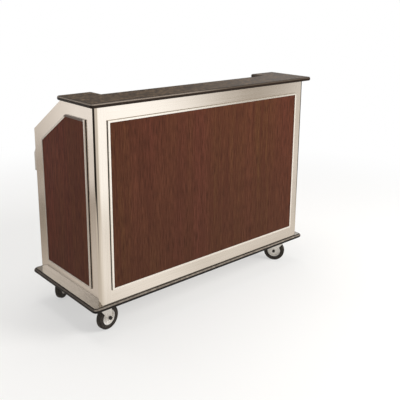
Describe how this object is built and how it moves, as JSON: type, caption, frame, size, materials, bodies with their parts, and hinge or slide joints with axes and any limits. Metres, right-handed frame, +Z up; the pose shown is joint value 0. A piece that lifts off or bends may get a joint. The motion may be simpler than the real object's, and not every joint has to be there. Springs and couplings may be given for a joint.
{
  "type": "portable bar",
  "caption": "Wheeled bar counter with panelled front and ends in steel frames, overhanging top, and a bartender's side with worktop, ice bin, open bays and hanging bottle rails.",
  "frame": {"origin": "on the floor, in the middle of the bar's length and depth", "axes": "+X along the bar's length, to the customers' right; +Y toward the bartender's side; +Z up"},
  "size_m": [1.512, 0.717, 1.168],
  "materials": {
    "stainless": "satin",
    "front_laminate": "satin",
    "end_laminate": "satin",
    "bar_top_laminate": "satin",
    "bar_top_moulding": "satin",
    "bumper_rubber": "satin",
    "dark_laminate": "satin",
    "channel_steel": "satin",
    "insulation": "matte",
    "valve_brass": "satin",
    "zinc_steel": "satin",
    "wheel_core": "satin",
    "tyre": "matte"
  },
  "bodies": {
    "cabinet": {"base_deck": "stainless", "chassis_channels": "channel_steel", "floor_panel": "dark_laminate", "bumper_strip": "bumper_rubber", "corner_post_left": "stainless", "corner_post_right": "stainless", "front_frame": "stainless", "front_panel": "front_laminate", "front_panel_trim": "stainless", "end_frame_left": "stainless", "end_panel_left": "end_laminate", "end_liner_left": "stainless", "end_frame_right": "stainless", "end_panel_right": "end_laminate", "end_liner_right": "stainless", "end_panel_trims": "stainless", "bar_top": "bar_top_laminate", "bar_top_edge": "bar_top_moulding", "backsplash": "stainless", "worktop": "stainless", "ice_bin_liner": "stainless", "ice_bin_insulation": "insulation", "ice_bin_casing": "stainless", "drain_fitting": "stainless", "drain_valve_body": "valve_brass", "apron": "stainless", "divider_left": "dark_laminate", "divider_right": "dark_laminate", "divider_edge_trims": "stainless", "shelf_left": "dark_laminate", "shelf_right": "dark_laminate", "shelf_edge_trims": "stainless", "shelf_supports": "stainless", "speed_rail_hangers": "stainless", "caster_plate_front_left": "zinc_steel", "caster_plate_front_right": "zinc_steel", "caster_plate_back_left": "zinc_steel", "caster_plate_back_right": "zinc_steel", "caster_bolts": "zinc_steel"},
    "swivel_front_left": {"caster_fork_front_left": "zinc_steel", "caster_axle_front_left": "zinc_steel"},
    "wheel_front_left": {"caster_wheel_front_left": "wheel_core", "caster_tyre_front_left": "tyre"},
    "swivel_front_right": {"caster_fork_front_right": "zinc_steel", "caster_axle_front_right": "zinc_steel"},
    "wheel_front_right": {"caster_wheel_front_right": "wheel_core", "caster_tyre_front_right": "tyre"},
    "swivel_back_left": {"caster_fork_back_left": "zinc_steel", "caster_axle_back_left": "zinc_steel"},
    "wheel_back_left": {"caster_wheel_back_left": "wheel_core", "caster_tyre_back_left": "tyre"},
    "swivel_back_right": {"caster_fork_back_right": "zinc_steel", "caster_axle_back_right": "zinc_steel"},
    "wheel_back_right": {"caster_wheel_back_right": "wheel_core", "caster_tyre_back_right": "tyre"},
    "hanging_rail_left": {"speed_rail_left": "stainless"},
    "hanging_rail_right": {"speed_rail_right": "stainless"},
    "valve_lever": {"drain_valve_lever": "stainless"}
  },
  "joints": [
    {"name": "swivel_front_left", "type": "hinge", "parent": "cabinet", "child": "swivel_front_left", "pos_m": [-0.661, -0.2465, 0.14], "axis": [0, 0, 1], "continuous": true},
    {"name": "roll_front_left", "type": "hinge", "parent": "swivel_front_left", "child": "wheel_front_left", "pos_m": [-0.62358, -0.2399, 0.0635], "axis": [-0.1736, 0.9848, 0], "continuous": true},
    {"name": "swivel_front_right", "type": "hinge", "parent": "cabinet", "child": "swivel_front_right", "pos_m": [0.661, -0.2465, 0.14], "axis": [0, 0, 1], "continuous": true},
    {"name": "roll_front_right", "type": "hinge", "parent": "swivel_front_right", "child": "wheel_front_right", "pos_m": [0.6392, -0.21537, 0.0635], "axis": [-0.8192, -0.5736, 0], "continuous": true},
    {"name": "swivel_back_left", "type": "hinge", "parent": "cabinet", "child": "swivel_back_left", "pos_m": [-0.661, 0.1805, 0.14], "axis": [0, 0, 1], "continuous": true},
    {"name": "roll_back_left", "type": "hinge", "parent": "swivel_back_left", "child": "wheel_back_left", "pos_m": [-0.62987, 0.2023, 0.0635], "axis": [-0.5736, 0.8192, 0], "continuous": true},
    {"name": "swivel_back_right", "type": "hinge", "parent": "cabinet", "child": "swivel_back_right", "pos_m": [0.661, 0.1805, 0.14], "axis": [0, 0, 1], "continuous": true},
    {"name": "roll_back_right", "type": "hinge", "parent": "swivel_back_right", "child": "wheel_back_right", "pos_m": [0.62309, 0.17785, 0.0635], "axis": [0.0698, -0.9976, 0], "continuous": true},
    {"name": "lift_off_rail_left", "type": "slide", "parent": "cabinet", "child": "hanging_rail_left", "axis": [0, 0, 1], "range_m": [0, 0.3]},
    {"name": "lift_off_rail_right", "type": "slide", "parent": "cabinet", "child": "hanging_rail_right", "axis": [0, 0, 1], "range_m": [0, 0.3]},
    {"name": "drain_valve", "type": "hinge", "parent": "cabinet", "child": "valve_lever", "pos_m": [0.04, 0.06185, 0.5562], "axis": [-1, 0, 0], "range_deg": [0, 90]}
  ]
}
